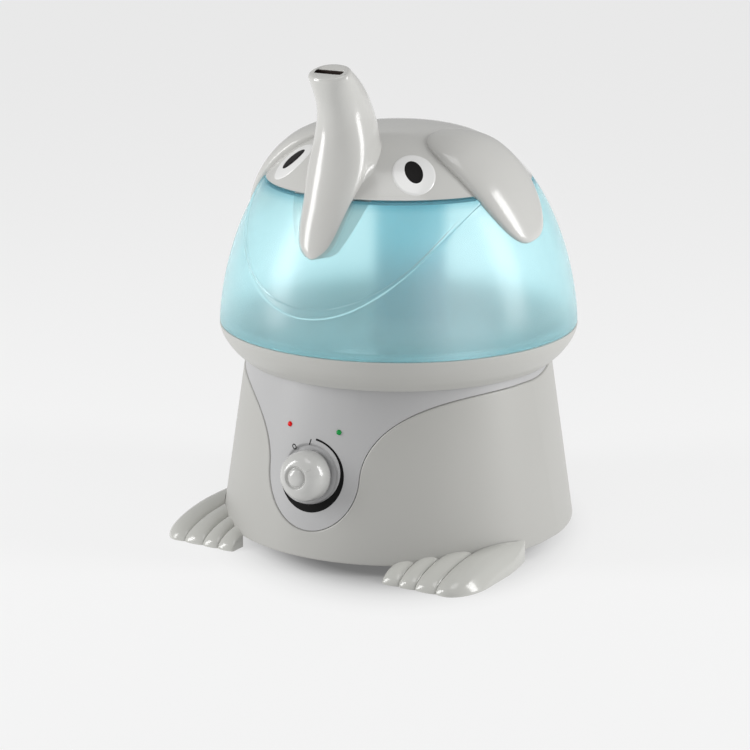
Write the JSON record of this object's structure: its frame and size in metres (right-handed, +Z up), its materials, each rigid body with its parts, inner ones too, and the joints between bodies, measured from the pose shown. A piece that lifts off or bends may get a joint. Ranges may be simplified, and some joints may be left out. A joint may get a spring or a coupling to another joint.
{
  "type": "cool mist humidifier",
  "caption": "Ultrasonic cool mist humidifier shaped as an elephant: domed lift-off tank, head lid with trunk outlet, tapered base with dial.",
  "frame": {"origin": "body's vertical axis, at the level of the surface that the humidifier stands on", "axes": "+Z up, -Y the way the face and the dial look, +X to the right of a person standing behind it and looking the way the face looks"},
  "size_m": [0.25, 0.2638, 0.3363],
  "materials": {
    "casing_grey": "satin",
    "panel_grey": "satin",
    "trim_grey": "gloss",
    "cover_grey": "matt",
    "print_black": "print",
    "eye_white": "gloss",
    "pad_rubber": "matt",
    "seal_rubber": "matt",
    "gasket_rubber": "matt",
    "screw_steel": "bright",
    "fan_black": "matt",
    "duct_plastic": "satin",
    "ceramic_disc": "matt",
    "holder_metal": "cast",
    "circuit_green": "satin",
    "transformer_iron": "satin",
    "capacitor_sleeve": "gloss",
    "pot_metal": "satin",
    "red_lens": "clear",
    "green_lens": "clear",
    "float_white": "satin",
    "magnet": "matt",
    "tank_blue": "frosted translucent",
    "chimney_blue": "translucent",
    "cap_plastic": "satin"
  },
  "bodies": {
    "base": {"base_shell": "casing_grey", "front_panel": "panel_grey", "dial_marks": "print_black", "basin": "casing_grey", "bottom_cover": "cover_grey", "left_foot": "trim_grey", "right_foot": "trim_grey", "rubber_pads": "pad_rubber", "cover_screws": "screw_steel", "foot_screws": "screw_steel", "fan_housing": "fan_black", "fan_duct": "duct_plastic", "transducer_disc": "ceramic_disc", "transducer_seal": "seal_rubber", "transducer_holder": "holder_metal", "holder_screws": "screw_steel", "driver_board": "circuit_green", "heat_sink": "holder_metal", "power_board": "circuit_green", "transformer": "transformer_iron", "capacitors": "capacitor_sleeve", "cord_gland": "pad_rubber", "potentiometer": "pot_metal", "pot_nut": "screw_steel", "lamp_board": "circuit_green", "red_lamp": "red_lens", "green_lamp": "green_lens", "float_clip": "screw_steel", "level_switch": "circuit_green"},
    "dial": {"knob": "trim_grey", "pot_shaft": "screw_steel"},
    "fan": {"fan_rotor": "fan_black"},
    "level_float": {"float": "float_white", "float_magnet": "magnet"},
    "tank": {"tank_shell": "tank_blue", "tank_floor": "tank_blue", "chimney": "chimney_blue"},
    "cap": {"tank_cap": "cap_plastic", "cap_gasket": "gasket_rubber", "valve_cage": "cap_plastic", "valve_spring": "screw_steel"},
    "valve": {"valve_plunger": "cap_plastic", "valve_seal": "seal_rubber"},
    "head": {"head_shell": "trim_grey", "trunk": "trim_grey", "left_ear": "trim_grey", "right_ear": "trim_grey", "left_eye": "eye_white", "right_eye": "eye_white", "left_pupil": "print_black", "right_pupil": "print_black"}
  },
  "joints": [
    {"name": "dial_turn", "type": "hinge", "parent": "base", "child": "dial", "pos_m": [0, -0.11552, 0.064], "axis": [0, -0.9892, 0.1463], "range_deg": [-193, 92]},
    {"name": "fan_spin", "type": "hinge", "parent": "base", "child": "fan", "pos_m": [-0.057, 0.036, 0.02], "axis": [0, 0, 1], "continuous": true},
    {"name": "float_rise", "type": "slide", "parent": "base", "child": "level_float", "axis": [0, 0, 1], "range_m": [0, 0.011]},
    {"name": "tank_lift", "type": "slide", "parent": "base", "child": "tank", "axis": [0, 0, 1], "range_m": [0, 0.2]},
    {"name": "cap_turn", "type": "hinge", "parent": "tank", "child": "cap", "pos_m": [0, -0.058, 0.118], "axis": [0, 0, 1], "range_deg": [-450, 0]},
    {"name": "valve_close", "type": "slide", "parent": "cap", "child": "valve", "axis": [0, 0, 1], "range_m": [-0.004, 0], "deforming": ["valve_spring"]},
    {"name": "head_lift", "type": "slide", "parent": "tank", "child": "head", "axis": [0, 0, 1], "range_m": [0, 0.12]}
  ],
  "couplings": [
    {"joint": "valve_close", "follows": "tank_lift", "ratio": -0.02}
  ]
}
